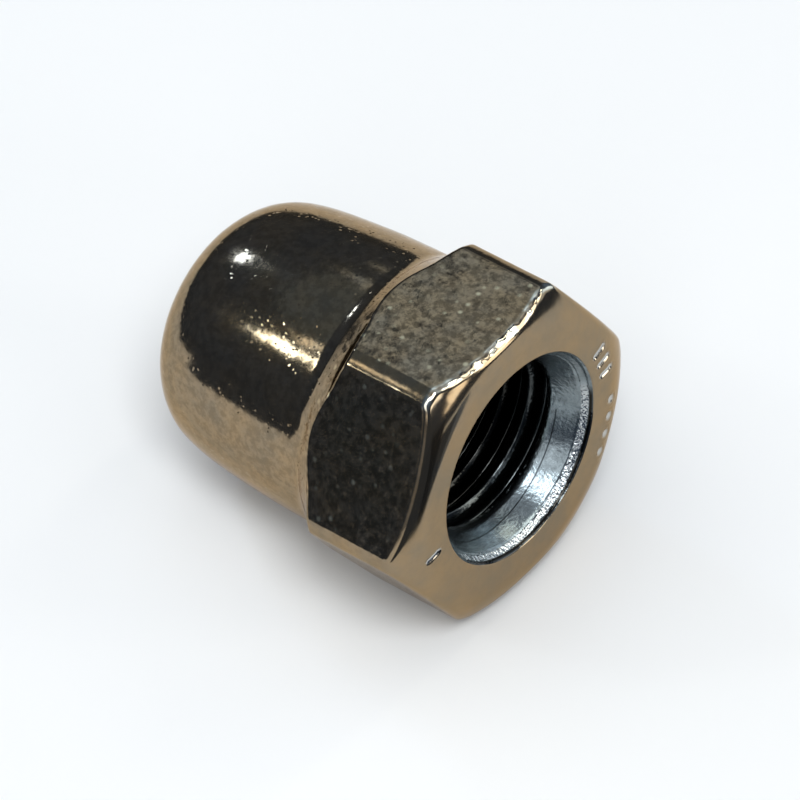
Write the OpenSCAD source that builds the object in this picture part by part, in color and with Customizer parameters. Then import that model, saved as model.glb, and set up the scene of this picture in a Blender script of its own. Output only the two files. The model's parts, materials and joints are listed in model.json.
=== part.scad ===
// High domed cap nut with a hexagon, a blind threaded hole and a countersunk mouth.
// It lies as it comes to rest: on the back edge of one flat and on the side of its dome.
// The hole opens towards +X and slightly upwards. Lengths are in millimetres.

/* [Hexagon] */
// Width across the flats
across_flats = 18; // [16:0.5:30]
// Length of the hexagon along the nut's axis
hex_h = 7.8; // [5:0.1:11]
// Radius along the six long edges
edge_r = 1.6; // [0.4:0.1:2.5]
// Diameter of the open face inside its chamfer
face_d = 17.7; // [15:0.1:22]
// Slope of the chamfer round the open face, in degrees
face_slope = 33; // [15:1:45]
// Slope of the chamfer on the domed side, in degrees
back_slope = 35; // [15:1:45]

/* [Dome] */
// Length of the whole nut along its axis
overall_h = 22.3; // [18:0.1:30]
// Diameter of the dome where it leaves the hexagon
dome_d = 17; // [13:0.1:22]
// Inward lean of the dome's side, in degrees
dome_draft = 4; // [1:0.5:8]
// Radius of the shoulder between the dome's side and its crown
knuckle_r = 5.2; // [2:0.1:6]
// Radius of the crown
crown_r = 18; // [14:1:40]
// Width of the flat step between the dome and the hexagon's chamfer
step_w = 0.1; // [0.05:0.05:1]
// Radius of the fillet at the foot of the dome
foot_r = 0.6; // [0.3:0.05:0.8]

/* [Threaded hole] */
// Minor diameter of the thread, which is the diameter of the drilled hole
bore_d = 10.2; // [8:0.1:12.5]
// Diameter of the countersink at the open face
mouth_d = 12.5; // [12:0.1:14.5]
// Depth of the countersink
mouth_depth = 2.2; // [0.6:0.1:3]
// Width of the bevel that breaks the mouth's sharp edge
lip = 0.15; // [0.05:0.05:0.4]
// Metal left between the drill's point and the crown
crown_wall = 3; // [2:0.1:6]
// Point angle of the drill, in degrees
drill_angle = 118; // [90:1:140]

/* [Stamped marks] */
// Depth of the marks in the open face
mark_depth = 0.15; // [0.05:0.05:0.3]
// Width of a stamped bar
bar_w = 0.45; // [0.3:0.05:0.8]
// Length of a stamped bar
bar_len = 1.3; // [0.8:0.1:1.8]
// Radius of a stamped dot
dot_r = 0.26; // [0.15:0.02:0.5]

/* [Hidden] */
$fn = 96;
over = 1;      // how far a cutting shape runs past the face that it cuts

flat_r = across_flats / 2;
face_r = face_d / 2;
dome_r = dome_d / 2;
back_r = dome_r + step_w;
bore_r = bore_d / 2;
mouth_r = mouth_d / 2;

// The dome's outline in the plane of the axis, as [radius, height] points.
// The crown is an arc about a point on the axis. The shoulder is an arc that
// touches both the crown and the leaning side.
crown_z = overall_h - crown_r;
shoulder_start = [dome_r - knuckle_r * cos(dome_draft),
                  hex_h - knuckle_r * sin(dome_draft) - crown_z];
lean = [-sin(dome_draft), cos(dome_draft)];
half_b = shoulder_start * lean;
rest_c = shoulder_start * shoulder_start - pow(crown_r - knuckle_r, 2);
knuckle = shoulder_start + [0, crown_z] + (sqrt(half_b * half_b - rest_c) - half_b) * lean;
join_angle = atan2(knuckle[0], knuckle[1] - crown_z);   // measured from the axis

// Centre of the foot's fillet: it touches the dome's side and the back chamfer.
side_n = [cos(dome_draft), sin(dome_draft)];
chamfer_n = [sin(back_slope), cos(back_slope)];
side_c = foot_r + [dome_r, hex_h] * side_n;
slope_c = foot_r + [back_r, hex_h] * chamfer_n;
foot_det = side_n[0] * chamfer_n[1] - side_n[1] * chamfer_n[0];
foot = [(side_c * chamfer_n[1] - slope_c * side_n[1]) / foot_det,
        (slope_c * side_n[0] - side_c * chamfer_n[0]) / foot_det];

// Depth of the drilled hole, to the end of its straight wall and to its point.
point_z = overall_h - crown_wall;
wall_z = point_z - bore_r / tan(drill_angle / 2);

// The nut rests on the back edge of a flat and on the shoulder of its dome.
heel = [flat_r, hex_h - max(0, flat_r - back_r) * tan(back_slope)];
heel_to_knuckle = knuckle - heel;
rest_tilt = max(0, -atan2(heel_to_knuckle[0], heel_to_knuckle[1])
                   - asin(knuckle_r / norm(heel_to_knuckle)));

// Extent of the resting nut along X, which centres it on the origin.
tail_arc = rest_tilt < join_angle ? [[0, crown_z], crown_r] : [knuckle, knuckle_r];
tail_x = -tail_arc[0][1] * cos(rest_tilt) - tail_arc[0][0] * sin(rest_tilt) - tail_arc[1];
nose_x = min(face_r, flat_r) * sin(rest_tilt);
rest_z = heel[0] * cos(rest_tilt) + heel[1] * sin(rest_tilt);

// Marks on the open face: [angle about the axis, radius] of each bar and dot.
mark_ring = (mouth_r + lip + face_r) / 2;
bars = [[72, mark_ring], [79, mark_ring], [86, mark_ring], [-95, mark_ring]];
dots = [for (i = [0:3]) [103 + 8 * i, mark_ring + 0.3]];

// Hexagon with rounded corners, with flats that face +X and -X.
module rounded_hexagon() {
    inner = (flat_r - edge_r) / cos(30);
    polygon([for (i = [0:5]) for (side = [-30, 30])
        inner * [cos(60 * i + 30), sin(60 * i + 30)]
        + edge_r * [cos(60 * i + 30 + side), sin(60 * i + 30 + side)]]);
    for (i = [0:5])
        translate(inner * [cos(60 * i + 30), sin(60 * i + 30)]) circle(r = edge_r);
}

// Pie slice from point c between two angles measured from the axis.
module slice(c, from, to, reach) {
    polygon([c, c + reach * [sin(from), cos(from)], c + reach * [sin(to), cos(to)]]);
}

// Half of the turned outline: chamfered ends, foot fillet, leaning side, shoulder and crown.
module turned_outline() {
    reach = flat_r;
    difference() {
        polygon([
            [0, 0], [face_r, 0],
            [face_r + reach, reach * tan(face_slope)],
            [face_r + reach, hex_h - (face_r + reach - back_r) * tan(back_slope)],
            foot - foot_r * chamfer_n, foot, foot - foot_r * side_n,
            knuckle + knuckle_r * side_n,
            knuckle + knuckle_r * [sin(join_angle), cos(join_angle)],
            [0, crown_z + crown_r * cos(join_angle)]]);
        translate(foot) circle(r = foot_r);
    }
    intersection() {
        translate(knuckle) circle(r = knuckle_r);
        slice(knuckle, join_angle, 90 - dome_draft, 3 * knuckle_r);
    }
    intersection() {
        translate([0, crown_z]) circle(r = crown_r);
        slice([0, crown_z], 0, join_angle, 2 * crown_r);
    }
}

// Hexagon bar turned to the outline.
module blank() {
    intersection() {
        linear_extrude(overall_h) rounded_hexagon();
        rotate_extrude() turned_outline();
    }
}

// Countersunk blind hole with the drill's point at its end.
module hole() {
    translate([0, 0, -over]) cylinder(h = wall_z + over, r = bore_r);
    translate([0, 0, wall_z]) cylinder(h = point_z - wall_z, r1 = bore_r, r2 = 0);
    cylinder(h = mouth_depth, r1 = mouth_r, r2 = bore_r);
    translate([0, 0, -over]) cylinder(h = over + lip, r1 = mouth_r + lip + over, r2 = mouth_r);
}

module bar(angle, radius) {
    straight = bar_len - bar_w;
    rotate([0, 0, angle]) translate([radius, 0, -over]) linear_extrude(over + mark_depth) {
        square([straight, bar_w], center = true);
        for (end = [-1, 1]) translate([end * straight / 2, 0]) circle(d = bar_w);
    }
}

module dot(angle, radius) {
    ball_r = (dot_r * dot_r + mark_depth * mark_depth) / (2 * mark_depth);
    rotate([0, 0, angle]) translate([radius, 0, mark_depth - ball_r]) sphere(r = ball_r);
}

// The nut upright, with its open face on the XY plane and its dome upwards.
module upright_nut() {
    difference() {
        blank();
        hole();
        for (b = bars) bar(b[0], b[1]);
        for (d = dots) dot(d[0], d[1]);
    }
}

module cap_nut() {
    color("silver")
        translate([-(tail_x + nose_x) / 2, 0, rest_z])
            rotate([0, -(90 + rest_tilt), 0])
                upright_nut();
}

cap_nut();
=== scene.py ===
"""Looks of the cap nut: its detailed surface, its zinc finish, the floor, the lamps and the camera.

The nut is shaped in millimetres in its own upright frame, where z = 0 is the open face
and +z runs towards the dome. The flat at angle 0 faces up, and the nut lies on the one at 180.
The record's mounts say where that frame stands in the world.
"""

import json
import math

import bpy
import numpy as np
from mathutils import Matrix, Vector


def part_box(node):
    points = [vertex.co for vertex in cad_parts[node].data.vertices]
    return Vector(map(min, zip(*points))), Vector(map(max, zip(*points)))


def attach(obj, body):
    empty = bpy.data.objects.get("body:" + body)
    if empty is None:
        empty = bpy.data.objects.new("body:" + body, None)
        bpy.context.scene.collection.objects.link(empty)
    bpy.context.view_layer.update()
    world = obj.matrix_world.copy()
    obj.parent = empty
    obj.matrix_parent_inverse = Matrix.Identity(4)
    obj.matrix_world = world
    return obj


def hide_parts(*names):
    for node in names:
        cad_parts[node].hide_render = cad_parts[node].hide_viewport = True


MM = 0.001

# Hexagon
FLAT_R = 9.0
HEX_H = 7.8
HALF_SIDE = math.pi / 6        # half of the angle between two edges
EDGE_R = 0.57                  # rounding of the hexagon's edges ...
EDGE_MIDDLE_R = 4.0            # ... and of the worn strip along their middle
EDGE_STRIP = math.radians(5)
BEYOND_R = 11                  # further out than the hexagon's corners
FACE_Z = 0.3                   # the flat part of the open face, marks and all, lies below this
FACE_END_R = 7.75              # where the open face begins to fall away
FACE_FALL = math.radians(35)
FACE_REACH = 2.0               # over which the fall grows to its full slope ...
FACE_BEND = 0.7                # ... by this power
FRONT_ROUND = 0.7              # radius between the front chamfer and a flat
BACK_SLOPE = math.tan(math.radians(35))
BACK_R = 8.6                   # where the back chamfer is HEX_H high
BACK_SOFT = 0.05               # how gently the flared foot turns into the back chamfer
BACK_ROUND = 0.35              # radius between a flat and the back chamfer

# Dome: a flared foot, then arcs of [radius, tilt at its end in degrees, rows], then a flat crown
DOME_R = 8.27
SIDE_Z = 9.5                   # where the foot's fillet turns into the side
FOOT_R = 1.8
FLARE = math.radians(31.5)
DOME_ARCS = [[64.6, 6.3, 20], [14.2, 14.2, 10], [4.05, 66.3, 18]]
OVERALL_H = 22.3

# Hole
MOUTH_R = 6.25
LIP = 0.1                      # the open face begins this far outside the mouth
LIP_RINGS = [[0.03, 6.34], [0.1, 6.27], [0.2, 6.22], [0.28, 6.2], [0.34, 6.15], [0.42, 6.09],
             [0.5, 6.03], [0.57, 5.98], [0.61, 5.97]]   # [z, radius] inwards from the open face
MOUTH_SHIFT = np.array([0.21, 0.06, 0])  # how far the countersink sits off the axis
SHIFT_END = 3.0                # depth at which the hole is back on the axis ...
SHIFT_R = 7.2                  # ... and radius beyond which the open face is
THREAD_PITCH = 1.75
THREAD_ROOT_R = 6.0
THREAD_CREST = 0.25            # share of the pitch that is crest
THREAD_SOFT = 0.02             # share of the pitch by which its corners are softened
FLANK_ANGLE = math.radians(30)
FIRST_GROOVE = 2.15            # height of the first groove's edge at the angle below
FIRST_ANGLE = math.radians(81)
GROOVE_BEGINS = math.radians(-90)
GROOVE_GROWS = 1.0             # angle over which the first groove gets its full depth
RUNOUT = [3, 1.8]              # distances from the wall's end between which the thread dies out
DRILL_ANGLE = math.radians(118)

# Stamped marks: [angle in degrees, radius] of each bar and dot
MARK_RING = 7.625
BARS = [[72, MARK_RING], [79, MARK_RING], [86, MARK_RING], [-95, MARK_RING]]
DOTS = [[103 + 8 * i, MARK_RING + 0.3] for i in range(4)]
MARK_DEPTH = 0.10
MARK_BOTTOM = 0.35             # share of a mark's half-width that is flat
MARK_R = 6.5                   # inside this radius there are none
BAR_WIDTH = 0.5
BAR_LENGTH = 1.3
DOT_R = 0.36
BURR_H = 0.03                  # height of the raised metal round a mark ...
BURR_AWAY, BURR_WIDTH = 1.2, 0.2   # ... and its place and width, in halves of the mark's width

# The mesh: stretches of [from, to, columns] round the axis, closer at edges and stamps ...
COLUMNS = [[-180, -155, 20], [-155, -145, 20], [-145, -102, 34], [-102, -85, 28], [-85, -35, 40],
           [-35, -25, 20], [-25, 25, 40], [25, 35, 20], [35, 60, 20], [60, 134, 140],
           [134, 145, 10], [145, 155, 20], [155, 180, 20]]
# ... and rows along each stretch of the outline, and within one pitch of the thread
FACE_ROWS = 28
FRONT_ROWS = 12
FLAT_ROWS = 18
BACK_EDGE_ROWS = 9
BACK_ROWS = 12
FOOT_ROWS = 12
CROWN_ROWS = 12
POINT_ROWS = 14
WALL_ROWS = 8
PITCH_ROWS = np.array([0, 0.03, 0.1, 0.2, 0.29, 0.33, 0.375, 0.42, 0.46, 0.54, 0.64, 0.72, 0.76,
                       0.87])
THREAD_TOP = 0.65              # the rows follow the thread from this depth ...
THREAD_END = 1.5               # ... to this distance from the wall's end
CORNER_STEPS = 200
FACE_STEPS = 400
CONTACT_STEPS = 20

# Unevenness: layers of [size of the lumps, height, seed], and where flats and dome have them
FLAT_LUMPS = [[1.3, 0.012, 1], [0.5, 0.004, 2]]
FLAT_LUMPS_R = [8.6, 8.9]
FLAT_LUMPS_Z = [0.1, 0.6]
DOME_LUMPS = [[1.6, 0.007, 3], [0.6, 0.003, 4]]
DOME_LUMPS_Z = [HEX_H, HEX_H + 0.8]
TORN_LUMPS = [0.16, 0.03, 7]
GROOVE_LUMPS = [0.2, 0.05, 8]
CELLS_ASIDE = 1000.0           # keeps the noise's cells away from zero
HASH_AXES = np.array([73856093, 19349663, 83492791])
HASH_SEED = 2654435761
HASH_MIX = 1274126177

# Wear and painted shade: [from, to, softness] in degrees round the axis, and in depth
TORN_TURN = [95, 232, 12]
TORN_Z = [0.27, 0.55, 0.07]
# the undercut by the torn rim is painted with shade
UNDERCUT_SHADE_TURN = [95, 232, 10]
UNDERCUT_SHADE_Z = [0.05, 0.2, 0.05]
GROOVE_EDGE = 0.13             # reach of the burr on the first groove's edge ...
GROOVE_EDGE_Z = 1.2            # ... which begins at this depth
THREAD_SHADE_PAST = [0.1, 0.45]         # distance past that edge over which the thread's painted shade begins
THREAD_SHADE_SHARE = 0.82
DEEP_SHADE_Z = [4.2, 5.2]            # depth over which the hole's painted shade gets darker still
DEEP_SHADE_SHARE = 0.15
SEAM_TURN = [105, 236]         # angles between which a thread's seam shows in the countersink
SEAM_Z, SEAM_RISE = 1.78, 0.42
FAR_AWAY = 3
DOME_BEGINS = [HEX_H - 0.3, HEX_H + 0.5]
WORN_R = 8.8                   # the rubbed edge lies outside this radius, above these heights ...
WORN_UP = [7.9, 8.5]
WORN_BEGINS = [0.005, 0.04]    # ... and between these distances from the face
WORN_ENDS = [0.25, 0.4]
SMOOTH_EDGE_R = [10.04, 10.13]
GRAIN_RISE = [0.05, 0.5]       # distance from the face over which the grain begins
GRAIN_LEAST = 0.06
GRAIN_LOST = 0.8               # share of it that long edges and dome lack

# Finish: linear colours
WHITE = (1, 1, 1, 1)
ZINC_TONES = ((0.305, 0.222, 0.133, 1), (0.246, 0.198, 0.138, 1))
GRAZING_TINT = (0.86, 0.74, 0.61, 1)
FLECK_COLOR = (0.84, 0.73, 0.48, 1)
STAMP_COLOR = (0.50, 0.51, 0.50, 1)
BARE_COLOR = (0.74, 0.74, 0.64, 1)
CONE_COLOR = (0.215, 0.252, 0.268, 1)
SEAM_COLOR = (0.01, 0.012, 0.016, 1)
TORN_COLOR = (0.50, 0.53, 0.54, 1)
# painted shade for the undercut and the inside of the hole
HOLE_SHADE_COLOR = (0.017, 0.016, 0.014, 1)
FLOOR_COLOR = (0.93, 0.92, 0.90, 1)

# Finish: noise of [cells per metre, detail, roughness], and cells per metre of the cell patterns
RUB = [1300, 1.0, 0.5]
LUMPS = [2900, 3.0, 0.6]
STAIN = [420, 4.0, 0.6]
SPECK = [2100, 4.0, 0.7]
DULL = [3300, 2.0, 0.6]
CLOUD = [1500, 5.0, 0.7]
BURRS = [5000, 1.0, 0.6]
FLECK_CELLS = 1500
CHIP_CELLS = 8500
FACET_CELLS = 3400
FACET_SMOOTH = 0.6

# Finish: how far the normal leans along each axis, and the texture's colour at which it doesn't
EVEN = (0.5, 0.5, 0.5)
FACET_LEAN = (0.065, 0.065, 0.065)       # the zinc's little facets
SPARKLE_LEAN = (0, 0.30, 0.12)           # the few facets that sparkle on the dome
SPARKLE_MIDDLE = (0, 0.5, 0.75)
DENT_LEAN = (0.6, 0.6, 0.6)              # the dents of the rubbed edge
LUMP_H = 0.000009
BURR_BUMP = 0.0001
BURR_STRENGTH = [0.85, 0.15]             # of the hole's bump: added where torn, and everywhere

# Finish: ranges of a pattern, and the values that they are mapped to
MIDDLE_RANGE = [0.35, 0.65]
FLECK_SIZE = [0.12, 0.30]
FLECK_CHANCE = [0.35, 0.9]
FLECK_STRENGTH = 0.8
FLECK_POWER = 2.0                        # flecks fade faster than the grain
CHIP_CHANCE = [0.90, 0.91]
SPECK_RANGE, SPECK_SHADES = [0.42, 0.58], [0.60, 1.22]
DOME_MOTTLE = 0.2
BEAD_RANGE, BEAD_SHARES = [0.4, 0.6], [0.1, 1.0]
DULL_RANGE, DULL_ROUGHER = [0.5, 0.7], [0.0, 0.12]
OUTSIDE_ROUGHNESS = 0.11
CLOUD_SHADES = [0.75, 1.25]
SEAM_RANGE, SEAM_SHARES = [0.015, 0.045], [0.9, 0.0]
CONE_ROUGHNESS = 0.26
CONE_SMOOTHER = -0.14                    # added to it where the hole is torn or painted with shade

# Floor, room and camera
FLOOR_HALF = 1.5
FLOOR_ROUGHNESS = 0.9
DIM_TINT = (0.62, 0.79, 1.12, 1)         # colour of the dim room that the metal shows
DIM_LEVEL = 0.123
LAMP_DISTANCE = 0.5
CARD_FOOT = 0.0002
CARD_STEP = 5                            # degrees of a bent card's facets
CAMERA_BEARING, CAMERA_HEIGHT = 40.38, 50.40
CAMERA_ROLL = math.radians(-1.56)
CAMERA_AIM = Vector((3.923, -2.093, 12.088)) * MM
CAMERA_DISTANCE = 0.36
CAMERA_LENS = 298.5
SENSOR_WIDTH = 36
CLIP_START = 0.01

# Lamps: name, bearing and height in degrees, [width, height] in degrees, radiance, colour, turn
LAMPS = [
    ["softbox", 53, 62, [19, 19], 11.9, (0.93, 0.98, 1.02), 0],
    ["overhead", 80, 78, [60, 60], 0.344, (1, 1, 1), 0],
    ["left", -103, 33, [7, 6], 16.0, (0.58, 0.74, 1.0), 0],
    ["front_left", -50.5, 34.5, [6, 6], 13.5, (0.84, 0.92, 0.93), 0],
    ["front_left_strip", -55.5, 43.5, [4, 5], 2.46, (1.0, 0.97, 0.85), -38],
    ["window", 137, 39, [15, 44], 4.35, (1.0, 1.0, 0.93), -31],
    ["window_end", 174.5, 46, [3, 14], 9.84, (1.0, 0.95, 0.8), 0],
    ["window_side", 112, 43, [12, 30], 4.1, (1.0, 0.99, 0.9), -15],
    ["window_low", 118, 11, [11, 34], 4.1, (1.0, 0.97, 0.88), 0],
    ["low_right", 101, 6, [10, 17], 3.28, (1.0, 0.93, 0.8), 0],
    ["corner", 84, 24, [14, 11], 4.1, (0.95, 0.98, 1.0), 0],
    ["low_front", -12, 16, [14, 12], 0.205, (1, 1, 1), 0],
    ["front", 26, 38, [22, 30], 1.72, (1, 1, 1), 0],
    ["front_low", 22, 10, [20, 18], 0.246, (1, 1, 1), 0],
    ["back_right", 158, 20, [30, 34], 1.07, (0.9, 0.96, 1.0), 0],
    ["fill_back", -143, 55, [24, 37], 0.574, (0.78, 0.9, 1.0), 0],
    ["fill_low", -149, 30, [15, 15], 0.41, (0.78, 0.9, 1.0), 0],
    ["fill_left", -90, 62, [60, 34], 0.115, (0.7, 0.9, 1.0), 0],
    ["floor_fill", -55, 60, [60, 60], 1.03, (1.0, 0.98, 0.94), 0],
]
METAL_ONLY = ["window", "window_side"]   # they don't reach the floor, which keeps its shadow soft
FLOOR_ONLY = ["floor_fill"]              # it makes the shadow paler and the metal doesn't show it

# The cards glow and only the metal's reflections show them: a painted dark horizon.
# Dim cards round the nut: name, distance, height, first and last bearing in degrees, brightness
REFLECTION_CARDS = [
    ["flag_round", 0.125, 0.022, 34, 366, 0.0984],
    ["flag_left", 0.050, 0.020, -48, -8, 0.107],
    ["flag_front", 0.030, 0.018, 40, 76, 0.107],
    ["flag_near", 0.030, 0.016, 76, 86, 0.0492],
    ["flag_side", 0.030, 0.0128, 86, 94, 0.123],
    ["flag_far", 0.030, 0.0135, 94, 99, 0.344],
]

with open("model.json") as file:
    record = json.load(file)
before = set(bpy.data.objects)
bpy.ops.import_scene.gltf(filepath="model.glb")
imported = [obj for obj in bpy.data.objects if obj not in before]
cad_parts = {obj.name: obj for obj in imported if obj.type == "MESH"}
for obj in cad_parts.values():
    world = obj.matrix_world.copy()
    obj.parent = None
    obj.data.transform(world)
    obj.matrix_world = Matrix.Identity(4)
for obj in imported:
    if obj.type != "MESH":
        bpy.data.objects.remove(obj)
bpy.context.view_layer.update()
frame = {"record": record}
mounts = {mount["name"]: mount for mount in frame["record"]["mounts"]}


def nut_frame():
    """The matrix from the nut's upright frame to the world, and the hole's sizes in millimetres."""
    thread = mounts["thread"]
    outward = Vector(thread["axis"]).normalized()
    middle = Vector(thread["pos_m"])
    to_face = (Vector(mounts["open_face"]["pos_m"]) - middle).dot(outward)
    up = Vector((-outward.z, 0, outward.x))
    side = Vector((0, 1, 0))
    matrix = Matrix((up, side, -outward)).transposed().to_4x4()
    matrix.translation = middle + outward * to_face
    wall = thread["dims"]["length_mm"]
    return matrix, thread["dims"]["r_mm"], to_face / MM - wall / 2, wall


TO_WORLD, BORE_R, MOUTH_DEPTH, WALL = nut_frame()
WALL_END = MOUTH_DEPTH + WALL


# ---------------------------------------------------------------- outline of the nut

def corner_curve():
    """Angle from a corner and distance from the axis, along half of the corner's rounding."""
    facing = np.linspace(0, HALF_SIDE, CORNER_STEPS)
    radius = np.where(facing < EDGE_STRIP, EDGE_MIDDLE_R, EDGE_R)
    step = radius * (facing[1] - facing[0])
    across = np.cumsum(step * np.cos(facing))
    inward = np.cumsum(step * np.sin(facing))
    end_gap = across[-1] * math.sin(HALF_SIDE) - inward[-1] * math.cos(HALF_SIDE)
    tip = (FLAT_R - end_gap) / math.cos(HALF_SIDE)
    return np.arctan2(across, tip - inward), np.hypot(across, tip - inward)


def hexagon_radius(angle):
    """Distance from the axis to the rounded hexagon, whose flats face angle 0, 60, 120 ..."""
    from_corner = np.abs((angle % (2 * HALF_SIDE)) - HALF_SIDE)
    flat = FLAT_R / np.cos(HALF_SIDE - from_corner)
    turn, rounded = corner_curve()
    return np.where(from_corner < turn[-1], np.interp(from_corner, turn, rounded), flat)


def front_lean(r):
    """Angle by which the front surface leans at r: none on the open face, then a rounded chamfer."""
    return FACE_FALL * np.clip((r - FACE_END_R) / FACE_REACH, 0, 1) ** FACE_BEND


def front_height(r):
    """Height of the open face and its chamfer."""
    steps = np.linspace(FACE_END_R, BEYOND_R, FACE_STEPS)
    rise = np.tan(front_lean(steps))
    heights = np.concatenate([[0], np.cumsum((rise[1:] + rise[:-1]) / 2)]) * (steps[1] - steps[0])
    return np.interp(r, steps, heights)


def back_height(r):
    """Height of the back: the dome's flared foot, and the chamfer outside it."""
    steep = 1 / math.tan(FLARE)
    join = HEX_H - BACK_SLOPE * (r - BACK_R)
    return join + (steep - BACK_SLOPE) * BACK_SOFT * np.log1p(np.exp((FLARE_R - r) / BACK_SOFT))


def back_lean(r):
    """Angle between the back's surface and the flats at r."""
    share = 1 / (1 + np.exp((r - FLARE_R) / BACK_SOFT))
    return np.arctan(BACK_SLOPE + (1 / math.tan(FLARE) - BACK_SLOPE) * share)


def arc(centre_r, centre_z, radius, start, end, count):
    """Points of an arc in the [r, z] plane, for start and end angles that may be arrays."""
    t = np.linspace(0, 1, count)
    a = np.asarray(start)[..., None] * (1 - t) + np.asarray(end)[..., None] * t
    return np.stack([np.asarray(centre_r)[..., None] + radius * np.cos(a),
                     np.asarray(centre_z)[..., None] + radius * np.sin(a)], -1)


def line(start, end, count):
    """Points strictly between two [r, z] points."""
    t = np.linspace(0, 1, count + 2)[1:-1, None]
    return start[..., None, :] * (1 - t) + end[..., None, :] * t


def foot_end():
    """The [r, z] point where the foot's fillet ends and its flare begins."""
    return np.array([DOME_R + FOOT_R * (1 - math.cos(FLARE)), SIDE_Z - FOOT_R * math.sin(FLARE)])


def flare_radius():
    """Radius at which the flare meets the back chamfer."""
    r, z = foot_end()
    steep = 1 / math.tan(FLARE)
    return (z + steep * r - HEX_H - BACK_SLOPE * BACK_R) / (steep - BACK_SLOPE)


FLARE_R = flare_radius()


def dome_outline():
    """Fillet, side, shoulder, knuckle and crown, from the end of the flare to the apex."""
    parts = [arc(DOME_R + FOOT_R, SIDE_Z, FOOT_R, math.pi + FLARE, math.pi, FOOT_ROWS)]
    tilt = 0
    for radius, end_degrees, rows in DOME_ARCS:
        end = math.radians(end_degrees)
        r, z = parts[-1][-1]
        centre = [r - radius * math.cos(tilt), z - radius * math.sin(tilt)]
        parts.append(arc(centre[0], centre[1], radius, tilt, end, rows)[1:])
        tilt = end
    r, z = parts[-1][-1]
    inwards = np.linspace(0, 1, CROWN_ROWS)[1:-1]
    parts.append(np.stack([r * (1 - inwards), OVERALL_H - (OVERALL_H - z) * (1 - inwards) ** 2], -1))
    return np.concatenate(parts)


def contact_radius(hexagon, start, radius, lean_at):
    """Radius at which a rounding beside the flats touches the surface that leans by lean_at(r)."""
    contact = start
    for _ in range(CONTACT_STEPS):
        contact = hexagon - radius * (1 - np.sin(lean_at(contact)))
    return contact


def outer_outline(angles):
    """Points [angle, row, (r, z)] of the outside, from the mouth's lip to just before the apex."""
    hexagon = hexagon_radius(angles)
    contact = contact_radius(hexagon, hexagon - FRONT_ROUND, FRONT_ROUND, front_lean)
    lean = front_lean(contact)
    inner = MOUTH_R + LIP
    face_r = inner + (contact[:, None] - inner) * np.linspace(0, 1, FACE_ROWS)
    face = np.stack([face_r, front_height(face_r)], -1)
    front_arc = arc(hexagon - FRONT_ROUND, front_height(contact) + FRONT_ROUND * np.cos(lean),
                    FRONT_ROUND, lean - math.pi / 2, 0 * lean, FRONT_ROWS)[:, 1:]
    contact = contact_radius(hexagon, hexagon - BACK_ROUND / 2, BACK_ROUND, back_lean)
    lean = back_lean(contact)
    back_arc = arc(hexagon - BACK_ROUND, back_height(contact) - BACK_ROUND * np.cos(lean),
                   BACK_ROUND, 0 * lean, math.pi / 2 - lean, BACK_EDGE_ROWS)
    flat = line(front_arc[:, -1], back_arc[:, 0], FLAT_ROWS)
    dome = np.broadcast_to(dome_outline(), (len(angles),) + dome_outline().shape)
    inwards = np.linspace(0, 1, BACK_ROWS)[1:-1]
    back_r = contact[:, None] + (dome[:, 0, 0] - contact)[:, None] * inwards
    back = np.stack([back_r, back_height(back_r)], -1)
    return np.concatenate([face, front_arc, flat, back_arc, back, dome], 1)


# ---------------------------------------------------------------- unevenness

def noise(points, cell, seed):
    """Smooth value noise from -1 to 1 at 3-D points, with lumps about cell across.

    Each corner of a point's cell gets a 16-bit number from a hash of its place and the seed.
    """
    scaled = points / cell + CELLS_ASIDE
    base = np.floor(scaled).astype(np.int64)
    part = scaled - base
    part = part * part * (3 - 2 * part)
    total = 0
    for corner in range(8):
        step = np.array([corner & 1, corner >> 1 & 1, corner >> 2])
        cell_id = (base + step) @ HASH_AXES + seed * HASH_SEED
        cell_id = (cell_id ^ (cell_id >> 13)) * HASH_MIX & 0x7FFFFFFF
        cell_id = (cell_id ^ (cell_id >> 15)) & 0xFFFF
        share = np.prod(np.where(step, part, 1 - part), axis=-1)
        total = total + share * (cell_id / 0x7FFF - 1)
    return total


def layered(points, layers):
    """The sum of several layers of noise, each given by its size, height and seed."""
    return sum(height * noise(points, cell, seed) for cell, height, seed in layers)


def smooth_step(x, low, high):
    """0 up to low and 1 from high, with a smooth rise between them."""
    t = np.clip((x - low) / (high - low), 0, 1)
    return t * t * (3 - 2 * t)


def between(x, low, high, soft):
    """1 between low and high, falling to 0 over soft outside them."""
    return smooth_step(x, low - soft, low) * (1 - smooth_step(x, high, high + soft))


# ---------------------------------------------------------------- outside

def column_angles():
    """Angles of the mesh's columns."""
    return np.radians(np.concatenate([np.linspace(low, high, count, endpoint=False)
                                      for low, high, count in COLUMNS]))


def stamp_depth(x, y):
    """Depth of the stamped marks at points of the open face, with their raised rims below zero."""
    depth = np.zeros_like(x)
    bars = [(angle, radius, (BAR_LENGTH - BAR_WIDTH) / 2, BAR_WIDTH) for angle, radius in BARS]
    dots = [(angle, radius, 0, 2 * DOT_R) for angle, radius in DOTS]
    for angle, radius, half, width in bars + dots:
        turn = math.radians(angle)
        along = x * math.cos(turn) + y * math.sin(turn) - radius
        across = y * math.cos(turn) - x * math.sin(turn)
        away = np.hypot(np.maximum(np.abs(along) - half, 0), across) / (width / 2)
        depth += MARK_DEPTH * (1 - smooth_step(away, MARK_BOTTOM, 1.0))
        depth -= BURR_H * np.exp(-((away - BURR_AWAY) / BURR_WIDTH) ** 2)
    return depth


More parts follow.
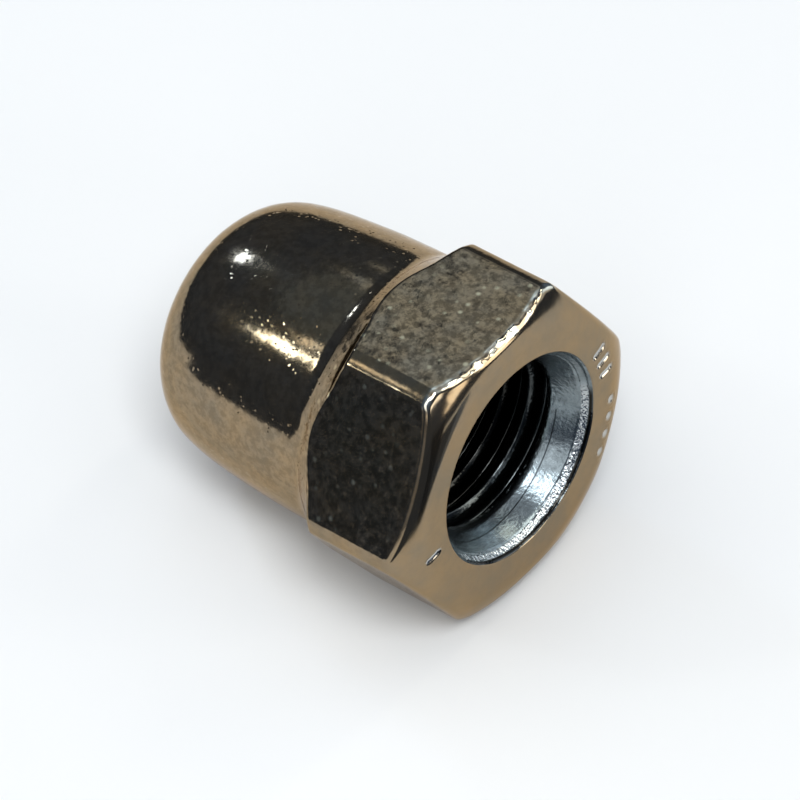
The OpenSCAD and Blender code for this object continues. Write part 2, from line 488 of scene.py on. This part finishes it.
def outer_points(angles):
    """Points of the outside in the upright frame, as [angle, row, xyz]."""
    outline = outer_outline(angles)
    r, z = outline[..., 0], outline[..., 1]
    along = np.gradient(outline, axis=1)
    normal = np.stack([along[..., 1], -along[..., 0]], -1)
    normal /= np.linalg.norm(normal, axis=-1, keepdims=True)
    ray = np.stack([np.cos(angles), np.sin(angles)], -1)[:, None, :]
    points = np.concatenate([ray * r[..., None], z[..., None]], -1)
    on_flat = smooth_step(r, *FLAT_LUMPS_R) * smooth_step(z, *FLAT_LUMPS_Z)
    on_dome = smooth_step(z, *DOME_LUMPS_Z)
    lift = on_flat * layered(points, FLAT_LUMPS) + on_dome * layered(points, DOME_LUMPS)
    points[..., :2] += ray * (normal[..., 0] * lift)[..., None]
    points[..., 2] += normal[..., 1] * lift
    points[..., 2] += np.where(z < FACE_Z, stamp_depth(points[..., 0], points[..., 1]), 0)
    return points


# ---------------------------------------------------------------- hole

def turn_angle(angles):
    """Angles from where the thread begins, from 0 to one turn."""
    return (angles - GROOVE_BEGINS) % (2 * math.pi)


def groove_edge(angles):
    """Height of the first groove's leading edge at each angle."""
    return FIRST_GROOVE + THREAD_PITCH * (
        turn_angle(angles) - turn_angle(FIRST_ANGLE)) / (2 * math.pi)


def thread_depth(phase):
    """Depth of the groove below the crest, over one pitch."""
    deep = THREAD_ROOT_R - BORE_R
    flank = deep * math.tan(FLANK_ANGLE) / THREAD_PITCH
    groove = 1 - THREAD_CREST
    shifts = (-THREAD_SOFT, 0, THREAD_SOFT)
    return sum(np.interp((phase + shift) % 1, [0, flank, groove - flank, groove, 1],
                         [0, deep, deep, 0, 0]) for shift in shifts) / len(shifts)


def hole_radius(z, angles):
    """Radius of the countersink and the threaded hole."""
    cone = MOUTH_R - (MOUTH_R - BORE_R) * z / MOUTH_DEPTH
    turns = (z - groove_edge(angles)) / THREAD_PITCH
    begin = np.where(turns < 1, smooth_step(turn_angle(angles), 0, GROOVE_GROWS), 1)
    end = 1 - smooth_step(z, WALL_END - RUNOUT[0], WALL_END - RUNOUT[1])
    threaded = BORE_R + np.where(turns > 0, thread_depth(turns), 0) * begin * end
    return np.maximum(cone, threaded)


def thread_heights(turns, top, bottom):
    """Heights of the rows that follow the thread, as [column, row], kept between top and bottom."""
    start = FIRST_GROOVE - THREAD_PITCH * turn_angle(FIRST_ANGLE) / (2 * math.pi)
    pitches = np.arange(-2, math.ceil((bottom - start) / THREAD_PITCH) + 1)
    steps = (pitches[:, None] + PITCH_ROWS).ravel()
    return np.clip(start + THREAD_PITCH * (steps + turns[:, None]), top, bottom)


# ---------------------------------------------------------------- wear and painted shade

def degrees_round(points):
    """Angle of each point round the axis, from 0 to 360 degrees."""
    return np.degrees(np.arctan2(points[..., 1], points[..., 0])) % 360


def torn_rim(points):
    """Where the mouth's edge is torn: a band just inside it, on one side."""
    return between(degrees_round(points), *TORN_TURN) * between(points[..., 2], *TORN_Z)


def first_edge(points):
    """Where the first groove breaks through the countersink."""
    z = points[..., 2]
    past = z - groove_edge(np.radians(degrees_round(points)))
    return np.exp(-(past / GROOVE_EDGE) ** 2) * (z > GROOVE_EDGE_Z)


def hole_painted_shade(points):
    """Painted shade in the hole: in the undercut by the torn rim, and over the thread, darker deeper
    in.
    """
    z = points[..., 2]
    turn = degrees_round(points)
    past = z - groove_edge(np.radians(turn))
    undercut = between(turn, *UNDERCUT_SHADE_TURN) * between(z, *UNDERCUT_SHADE_Z)
    thread_shade = THREAD_SHADE_SHARE * smooth_step(past, *THREAD_SHADE_PAST) + DEEP_SHADE_SHARE * smooth_step(z, *DEEP_SHADE_Z)
    return np.maximum(undercut, thread_shade)


def seam_distance(points):
    """Distance in millimetres from the closed-up groove in the countersink, and large elsewhere."""
    share = (degrees_round(points) - SEAM_TURN[0]) / (SEAM_TURN[1] - SEAM_TURN[0])
    height = SEAM_Z - SEAM_RISE * np.clip(share, 0, 1) ** 2
    return points[..., 2] - height + FAR_AWAY * np.where((share > 0) & (share < 1), 0, 1)


def rough_edges(points):
    """Points with burrs, left by the countersink on the mouth's edge and the first groove's edge."""
    r = np.hypot(points[..., 0], points[..., 1])
    torn_cell, torn_height, torn_seed = TORN_LUMPS
    groove_cell, groove_height, groove_seed = GROOVE_LUMPS
    jag = (torn_height * torn_rim(points) * noise(points, torn_cell, torn_seed)
           + groove_height * first_edge(points) * noise(points, groove_cell, groove_seed))
    return points * np.stack([1 + jag / r, 1 + jag / r, np.ones_like(r)], -1)


def dome_share(points):
    """1 on the dome and 0 on the hexagon."""
    return smooth_step(points[:, 2], *DOME_BEGINS)


def worn_share(points):
    """1 where the top flat rounds into the front chamfer and the zinc is rubbed bright."""
    r = np.hypot(points[:, 0], points[:, 1])
    rise = points[:, 2] - front_height(r)
    upper = smooth_step(points @ np.array(TO_WORLD)[2, :3], *WORN_UP)
    return (smooth_step(rise, *WORN_BEGINS) * (1 - smooth_step(rise, *WORN_ENDS))
            * (r > WORN_R) * upper)


def grain_amount(points):
    """How grainy the metal is: full on the flats, less on the long edges and dome, least in front."""
    r = np.hypot(points[:, 0], points[:, 1])
    z = points[:, 2]
    edge = smooth_step(r, *SMOOTH_EDGE_R) * (z < HEX_H)
    kept = 1 - GRAIN_LOST * edge - GRAIN_LOST * dome_share(points)
    return GRAIN_LEAST + (1 - GRAIN_LEAST) * smooth_step(z - front_height(r), *GRAIN_RISE) * kept


def stamp_share(points):
    """How far each point lies down in a stamped mark: 1 at the bottom, 0 outside."""
    depth = stamp_depth(points[:, 0], points[:, 1]) / MARK_DEPTH
    r = np.hypot(points[:, 0], points[:, 1])
    return np.clip(depth, 0, 1) * (points[:, 2] < FACE_Z) * (r > MARK_R)


# ---------------------------------------------------------------- the whole skin

class Skin:
    """Points and faces of the nut's closed surface, built from the drill's point to the apex."""

    def __init__(self):
        self.points = []
        self.faces = []
        self.in_hole = []

    def add(self, points, in_hole):
        """Adds points, with 1 for the hole or 0 for the outside, and gives their numbers."""
        first = len(self.points)
        self.points.extend(points)
        self.in_hole.extend([in_hole] * len(points))
        return np.arange(first, len(self.points))

    def face(self, corners):
        """Adds a face, unless too few of its corners differ."""
        kept = [c for i, c in enumerate(corners) if c != corners[i - 1]]
        if len(set(kept)) > 2:
            self.faces.append(kept)

    def band(self, near, far):
        """Faces between two rings of the same columns, far being further along the outline."""
        for i in range(len(near)):
            j = (i + 1) % len(near)
            self.face([near[i], near[j], far[j], far[i]])

    def fan(self, ring, tip, outwards):
        """Faces between a ring and the point that closes it."""
        for i in range(len(ring)):
            j = (i + 1) % len(ring)
            self.face([ring[i], ring[j], tip] if outwards else [ring[j], ring[i], tip])


def ring_points(angles, r, z):
    """Points at the given angles, for radii and heights that may be single numbers."""
    r, z = np.broadcast_to(r, angles.shape), np.broadcast_to(z, angles.shape)
    return np.stack([r * np.cos(angles), r * np.sin(angles), z], -1)


def add_wall(skin, angles):
    """The drill's point and the plain wall below the thread, and the ring that they end in."""
    point_z = WALL_END + BORE_R / math.tan(DRILL_ANGLE / 2)
    tip = skin.add([(0, 0, point_z)], 1)[0]
    rings = [skin.add(ring_points(angles, BORE_R * t, point_z + (WALL_END - point_z) * t), 1)
             for t in np.linspace(0, 1, POINT_ROWS)[1:]]
    skin.fan(rings[0], tip, False)
    rings += [skin.add(ring_points(angles, BORE_R, z), 1)
              for z in np.linspace(WALL_END, WALL_END - THREAD_END, WALL_ROWS)[1:]]
    for near, far in zip(rings[:-1], rings[1:]):
        skin.band(near, far)
    return rings[-1]


def add_thread(skin, angles, bottom_ring):
    """The thread and the countersink, whose rows follow the helix, and the ring above them."""
    turns = turn_angle(angles) / (2 * math.pi)
    top, bottom = THREAD_TOP, WALL_END - THREAD_END
    z = thread_heights(turns, top, bottom)
    top_ring = skin.add(rough_edges(ring_points(angles, hole_radius(top, angles), top)), 1)
    index = np.full(z.shape, -1)
    for c in range(len(angles)):
        inside = (z[c] > top) & (z[c] < bottom)
        column = ring_points(np.full(inside.sum(), angles[c]),
                             hole_radius(z[c][inside], angles[c]), z[c][inside])
        index[c][inside] = skin.add(rough_edges(column), 1)
        index[c][z[c] <= top] = top_ring[c]
        index[c][z[c] >= bottom] = bottom_ring[c]
    last = z.shape[1] - 1
    for c in range(len(angles)):
        d = (c + 1) % len(angles)
        shift = len(PITCH_ROWS) if turns[d] < turns[c] else 0
        for j in range(last):
            a, b = min(j + shift, last), min(j + shift + 1, last)
            skin.face([index[c][j + 1], index[d][b], index[d][a], index[c][j]])
    return top_ring


def build_skin():
    """The whole skin: the hole has every second column of the outside."""
    skin = Skin()
    angles = column_angles()
    half = angles[::2]
    near = add_thread(skin, half, add_wall(skin, half))
    for lip_z, lip_r in reversed(LIP_RINGS):
        far = skin.add(rough_edges(ring_points(half, lip_r, lip_z)), 1)
        skin.band(near, far)
        near = far

    outside = outer_points(angles)
    rows = [skin.add(outside[:, row], 0) for row in range(outside.shape[1])]
    for i in range(len(half)):
        j = (i + 1) % len(half)
        first = 2 * i
        skin.face([near[i], near[j], rows[0][(first + 2) % len(angles)], rows[0][first + 1],
                   rows[0][first]])
    for a, b in zip(rows[:-1], rows[1:]):
        skin.band(a, b)
    apex = skin.add([(0, 0, OVERALL_H)], 0)[0]
    skin.fan(rows[-1], apex, True)
    return skin


def make_nut():
    """The nut, laid down in the world, with the attributes that its finish reads."""
    skin = build_skin()
    mesh = bpy.data.meshes.new("nut")
    shaped = np.array(skin.points)
    off_axis = 1 - smooth_step(shaped[:, 2:], 0, SHIFT_END)
    reach = 1 - smooth_step(np.hypot(shaped[:, :1], shaped[:, 1:2]), MOUTH_R + LIP, SHIFT_R)
    world = np.array(TO_WORLD)
    points = (shaped + MOUTH_SHIFT * off_axis * reach) * MM @ world[:3, :3].T + world[:3, 3]
    points[:, 2] = np.maximum(points[:, 2], 0)
    mesh.from_pydata(points.tolist(), [], skin.faces)
    mesh.polygons.foreach_set("use_smooth", [True] * len(mesh.polygons))
    # the hole's darkening attribute is painted shade
    for name, values in (("hole", np.array(skin.in_hole)), ("grain", grain_amount(shaped)),
                         ("dome", dome_share(shaped)), ("worn", worn_share(shaped)),
                         ("stamp", stamp_share(shaped)),
                         ("torn", np.maximum(torn_rim(shaped), first_edge(shaped))),
                         ("dirt", hole_painted_shade(shaped)), ("seam", seam_distance(shaped))):
        attribute = mesh.attributes.new(name, "FLOAT", "POINT")
        attribute.data.foreach_set("value", values.astype(np.float32))
    mesh.validate()
    nut = bpy.data.objects.new("nut", mesh)
    bpy.context.scene.collection.objects.link(nut)
    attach(nut, "root")
    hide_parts("cap_nut")
    return nut


# ---------------------------------------------------------------- nodes

def node(tree, kind, inputs=None, **settings):
    """A new node, with its settings and the values or links of its inputs."""
    made = tree.nodes.new(kind)
    for name, value in settings.items():
        setattr(made, name, value)
    for name, value in (inputs or {}).items():
        if isinstance(value, bpy.types.NodeSocket):
            tree.links.new(value, made.inputs[name])
        else:
            made.inputs[name].default_value = value
    return made


def mix_colors(tree, share, first, second, blend="MIX"):
    """The colour output of a Mix node, for colours or links, and a share from 0 to 1."""
    mix = tree.nodes.new("ShaderNodeMix")
    mix.data_type = "RGBA"
    mix.blend_type = blend
    color_a, color_b = (socket for socket in mix.inputs if socket.type == "RGBA")
    for socket, value in ((mix.inputs["Factor"], share), (color_a, first), (color_b, second)):
        if isinstance(value, bpy.types.NodeSocket):
            tree.links.new(value, socket)
        else:
            socket.default_value = value
    return next(socket for socket in mix.outputs if socket.type == "RGBA")


def attribute_value(tree, name):
    """The value of one of the nut's attributes."""
    return node(tree, "ShaderNodeAttribute", attribute_name=name).outputs["Fac"]


def red_of(tree, color):
    """The red of a colour."""
    return node(tree, "ShaderNodeSeparateColor", {"Color": color}).outputs["Red"]


def noise_texture(tree, place, kind):
    """A noise texture of a kind that gives its cells per metre, detail and roughness."""
    scale, detail, roughness = kind
    return node(tree, "ShaderNodeTexNoise", {"Vector": place, "Scale": scale, "Detail": detail,
                                             "Roughness": roughness})


def mapped(tree, value, source, target=(0.0, 1.0)):
    """A value mapped from one range to another, and kept inside the second."""
    made = node(tree, "ShaderNodeMapRange", {"Value": value,
                                             "From Min": source[0], "From Max": source[1],
                                             "To Min": target[0], "To Max": target[1]})
    return made.outputs["Result"]


def worked_out(tree, operation, *values):
    """The result of a Math node."""
    return node(tree, "ShaderNodeMath", dict(enumerate(values)), operation=operation).outputs[0]


def vector_of(tree, operation, *values):
    """The vector that a Vector Math node gives."""
    made = node(tree, "ShaderNodeVectorMath", dict(enumerate(values)), operation=operation)
    return made.outputs[0]


def leaning_by(tree, color, reach, middle, share):
    """A texture's colour turned into a lean of the normal: a reach, 0 at the middle, and a share."""
    offset = tuple(-length * part for length, part in zip(reach, middle))
    leaning = vector_of(tree, "MULTIPLY_ADD", color, reach, offset)
    scaled = node(tree, "ShaderNodeVectorMath", {0: leaning, "Scale": share}, operation="SCALE")
    return scaled.outputs[0]


def new_material(name):
    """A material, its node tree and its shader."""
    material = bpy.data.materials.new(name)
    material.use_nodes = True
    tree = material.node_tree
    return material, tree, tree.nodes["Principled BSDF"]


# ---------------------------------------------------------------- finish

def outside_normal(tree, place, grain, dome, worn, rub):
    """The normal outside: leaning facets, a few that sparkle on the dome, dents, and fine lumps."""
    facets = node(tree, "ShaderNodeTexVoronoi", {"Vector": place, "Scale": FACET_CELLS,
                                                 "Smoothness": FACET_SMOOTH}, feature="SMOOTH_F1")
    chips = node(tree, "ShaderNodeTexVoronoi", {"Vector": place, "Scale": CHIP_CELLS})
    chosen = mapped(tree, red_of(tree, chips.outputs["Color"]), CHIP_CHANCE)
    sparkling = worked_out(tree, "MULTIPLY", chosen, dome)
    normal = node(tree, "ShaderNodeNewGeometry").outputs["Normal"]
    for pattern, reach, middle, share in ((facets, FACET_LEAN, EVEN, grain),
                                          (chips, SPARKLE_LEAN, SPARKLE_MIDDLE, sparkling),
                                          (rub, DENT_LEAN, EVEN, worn)):
        leaning = leaning_by(tree, pattern.outputs["Color"], reach, middle, share)
        normal = vector_of(tree, "ADD", normal, leaning)
    lumps = noise_texture(tree, place, LUMPS)
    bump = node(tree, "ShaderNodeBump", {"Height": lumps.outputs["Fac"], "Strength": grain,
                                         "Distance": LUMP_H,
                                         "Normal": vector_of(tree, "NORMALIZE", normal)})
    return bump.outputs["Normal"]


def outside_color(tree, place, grain, dome, worn, rub):
    """Two tones of zinc, mottled where it is grainy, with pale flecks, marks and bared beads."""
    stain = mapped(tree, noise_texture(tree, place, STAIN).outputs["Fac"], MIDDLE_RANGE)
    tone = mix_colors(tree, stain, *ZINC_TONES)
    speck = noise_texture(tree, place, SPECK).outputs["Fac"]
    mottled = worked_out(tree, "MULTIPLY_ADD", dome, DOME_MOTTLE, grain)
    specked = mix_colors(tree, mottled, WHITE, mapped(tree, speck, SPECK_RANGE, SPECK_SHADES))
    base = mix_colors(tree, 1, tone, specked, "MULTIPLY")

    cells = node(tree, "ShaderNodeTexVoronoi", {"Vector": place, "Scale": FLECK_CELLS})
    near = mapped(tree, cells.outputs["Distance"], FLECK_SIZE, (1.0, 0.0))
    picked = mapped(tree, red_of(tree, cells.outputs["Color"]), FLECK_CHANCE,
                    (0.0, FLECK_STRENGTH))
    flecks = worked_out(tree, "MULTIPLY", near, picked)
    rough = worked_out(tree, "POWER", grain, FLECK_POWER)
    flecked = mix_colors(tree, worked_out(tree, "MULTIPLY", flecks, rough), base, FLECK_COLOR)
    marked = mix_colors(tree, attribute_value(tree, "stamp"), flecked, STAMP_COLOR)
    beads = mapped(tree, rub.outputs["Fac"], BEAD_RANGE, BEAD_SHARES)
    return mix_colors(tree, worked_out(tree, "MULTIPLY", beads, worn), marked, BARE_COLOR)


def zinc_outside():
    """Zinc over cold-formed steel: grainy flats, smoother face and dome, a rubbed front edge."""
    material, tree, shader = new_material("zinc_outside")
    shader.inputs["Metallic"].default_value = 1
    shader.inputs["Specular Tint"].default_value = GRAZING_TINT
    place = node(tree, "ShaderNodeTexCoord").outputs["Object"]
    grain, dome, worn = (attribute_value(tree, name) for name in ("grain", "dome", "worn"))
    rub = noise_texture(tree, place, RUB)
    normal = outside_normal(tree, place, grain, dome, worn, rub)
    tree.links.new(normal, shader.inputs["Normal"])
    color = outside_color(tree, place, grain, dome, worn, rub)
    tree.links.new(color, shader.inputs["Base Color"])
    dull = noise_texture(tree, place, DULL).outputs["Fac"]
    roughness = worked_out(tree, "MULTIPLY_ADD", mapped(tree, dull, DULL_RANGE, DULL_ROUGHER),
                           grain, OUTSIDE_ROUGHNESS)
    tree.links.new(roughness, shader.inputs["Roughness"])
    return material


def zinc_hole():
    """Bluer, rougher zinc in the countersink; torn and sparkling edges; painted shade in the undercut
    and over the thread.
    """
    material, tree, shader = new_material("zinc_hole")
    shader.inputs["Metallic"].default_value = 1
    place = node(tree, "ShaderNodeTexCoord").outputs["Object"]
    torn, dirt, seam = (attribute_value(tree, name) for name in ("torn", "dirt", "seam"))
    cloud = noise_texture(tree, place, CLOUD).outputs["Fac"]
    clean = mix_colors(tree, 1, CONE_COLOR, mapped(tree, cloud, MIDDLE_RANGE, CLOUD_SHADES),
                       "MULTIPLY")
    hairline = mapped(tree, worked_out(tree, "ABSOLUTE", seam), SEAM_RANGE, SEAM_SHARES)
    lined = mix_colors(tree, hairline, clean, SEAM_COLOR)
    bright = mix_colors(tree, torn, lined, TORN_COLOR)
    # painted shade darkens the undercut and the thread
    color = mix_colors(tree, dirt, bright, HOLE_SHADE_COLOR)
    tree.links.new(color, shader.inputs["Base Color"])

    burrs = noise_texture(tree, place, BURRS).outputs["Fac"]
    strength = worked_out(tree, "MULTIPLY_ADD", torn, *BURR_STRENGTH)
    bump = node(tree, "ShaderNodeBump", {"Height": burrs, "Strength": strength,
                                         "Distance": BURR_BUMP})
    tree.links.new(bump.outputs["Normal"], shader.inputs["Normal"])
    smooth = worked_out(tree, "MAXIMUM", torn, dirt)
    roughness = worked_out(tree, "MULTIPLY_ADD", smooth, CONE_SMOOTHER, CONE_ROUGHNESS)
    tree.links.new(roughness, shader.inputs["Roughness"])
    return material


def finish_nut(nut):
    """Gives the nut its two materials: a face belongs to the hole if all its corners do."""
    mesh = nut.data
    mesh.materials.append(zinc_outside())
    mesh.materials.append(zinc_hole())
    flags = np.zeros(len(mesh.vertices), np.float32)
    mesh.attributes["hole"].data.foreach_get("value", flags)
    inside = [int(all(flags[v] > 0.5 for v in face.vertices)) for face in mesh.polygons]
    mesh.polygons.foreach_set("material_index", inside)


# ---------------------------------------------------------------- floor, lamps and camera

def new_object(name, points, faces):
    """An object from points and faces, and the shader of its own material."""
    mesh = bpy.data.meshes.new(name)
    mesh.from_pydata(points, [], faces)
    made = bpy.data.objects.new(name, mesh)
    bpy.context.scene.collection.objects.link(made)
    material, _, shader = new_material(name)
    mesh.materials.append(material)
    return made, shader


def make_floor():
    """The plain pale floor."""
    size = FLOOR_HALF
    floor, shader = new_object(
        "floor", [(-size, -size, 0), (size, -size, 0), (size, size, 0), (-size, size, 0)],
        [(0, 1, 2, 3)])
    shader.inputs["Base Color"].default_value = FLOOR_COLOR
    shader.inputs["Roughness"].default_value = FLOOR_ROUGHNESS


def from_angles(azimuth, elevation):
    """Unit vector towards a bearing, where bearing 0 is -Y and 90 is +X."""
    a, e = math.radians(azimuth), math.radians(elevation)
    return Vector((math.sin(a) * math.cos(e), -math.cos(a) * math.cos(e), math.sin(e)))


def make_lamp(name, azimuth, elevation, spread, radiance, color, turn, middle):
    """An area lamp that faces the nut's middle, from its bearing, spread and brightness."""
    width, height = (2 * LAMP_DISTANCE * math.tan(math.radians(s / 2)) for s in spread)
    lamp = bpy.data.lights.new(name, "AREA")
    lamp.shape = "RECTANGLE"
    lamp.size = width
    lamp.size_y = height
    lamp.energy = radiance * math.pi * width * height
    lamp.color = color
    held = bpy.data.objects.new(name, lamp)
    bpy.context.scene.collection.objects.link(held)
    held.visible_diffuse = name not in METAL_ONLY
    held.visible_glossy = name not in FLOOR_ONLY
    aim = from_angles(azimuth, elevation)
    held.location = middle + aim * LAMP_DISTANCE
    facing = aim.to_track_quat("Z", "Y").to_matrix() @ Matrix.Rotation(math.radians(turn), 3, "Z")
    held.rotation_euler = facing.to_euler()


def make_reflection_card(name, radius, height, start, end, level):
    """A low dim glowing card, bent round the nut, seen only in the metal's reflections as a painted
    dark horizon.
    """
    count = max(2, round((end - start) / CARD_STEP))
    bearings = [start + (end - start) * i / count for i in range(count + 1)]
    rim = [from_angles(bearing, 0) * radius for bearing in bearings]
    points = [(p.x, p.y, z) for z in (CARD_FOOT, height) for p in rim]
    n = len(rim)
    glowing_card, shader = new_object(name, points, [(i, i + 1, n + i + 1, n + i) for i in range(count)])
    # Only glossy rays see the card, and it glows: a painted reflection.
    glowing_card.visible_camera = False
    glowing_card.visible_diffuse = False
    glowing_card.visible_shadow = False
    shader.inputs["Base Color"].default_value = (0, 0, 0, 1)
    shader.inputs["Specular IOR Level"].default_value = 0
    shader.inputs["Emission Color"].default_value = DIM_TINT
    shader.inputs["Emission Strength"].default_value = level


def make_camera():
    """The camera looks down on the nut from beyond its open end, with a long lens."""
    data = bpy.data.cameras.new("camera")
    data.lens = CAMERA_LENS
    data.sensor_width = SENSOR_WIDTH
    data.clip_start = CLIP_START
    camera = bpy.data.objects.new("camera", data)
    bpy.context.scene.collection.objects.link(camera)
    toward = from_angles(CAMERA_BEARING, CAMERA_HEIGHT)
    rotation = toward.to_track_quat("Z", "Y").to_matrix() @ Matrix.Rotation(CAMERA_ROLL, 3, "Z")
    place = Matrix.Translation(CAMERA_AIM + toward * CAMERA_DISTANCE)
    camera.matrix_world = place @ rotation.to_4x4()
    bpy.context.scene.camera = camera


def make_room():
    """The dim room round the stage."""
    world = bpy.data.worlds.new("studio")
    world.use_nodes = True
    background = world.node_tree.nodes["Background"]
    background.inputs["Color"].default_value = DIM_TINT
    background.inputs["Strength"].default_value = DIM_LEVEL
    bpy.context.scene.world = world
    bpy.context.scene.view_settings.view_transform = "Standard"


finish_nut(make_nut())
make_floor()
low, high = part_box("cap_nut")
nut_middle = (low + high) / 2
for lamp_row in LAMPS:
    make_lamp(*lamp_row, nut_middle)
for card_row in REFLECTION_CARDS:
    make_reflection_card(*card_row)
make_camera()
make_room()
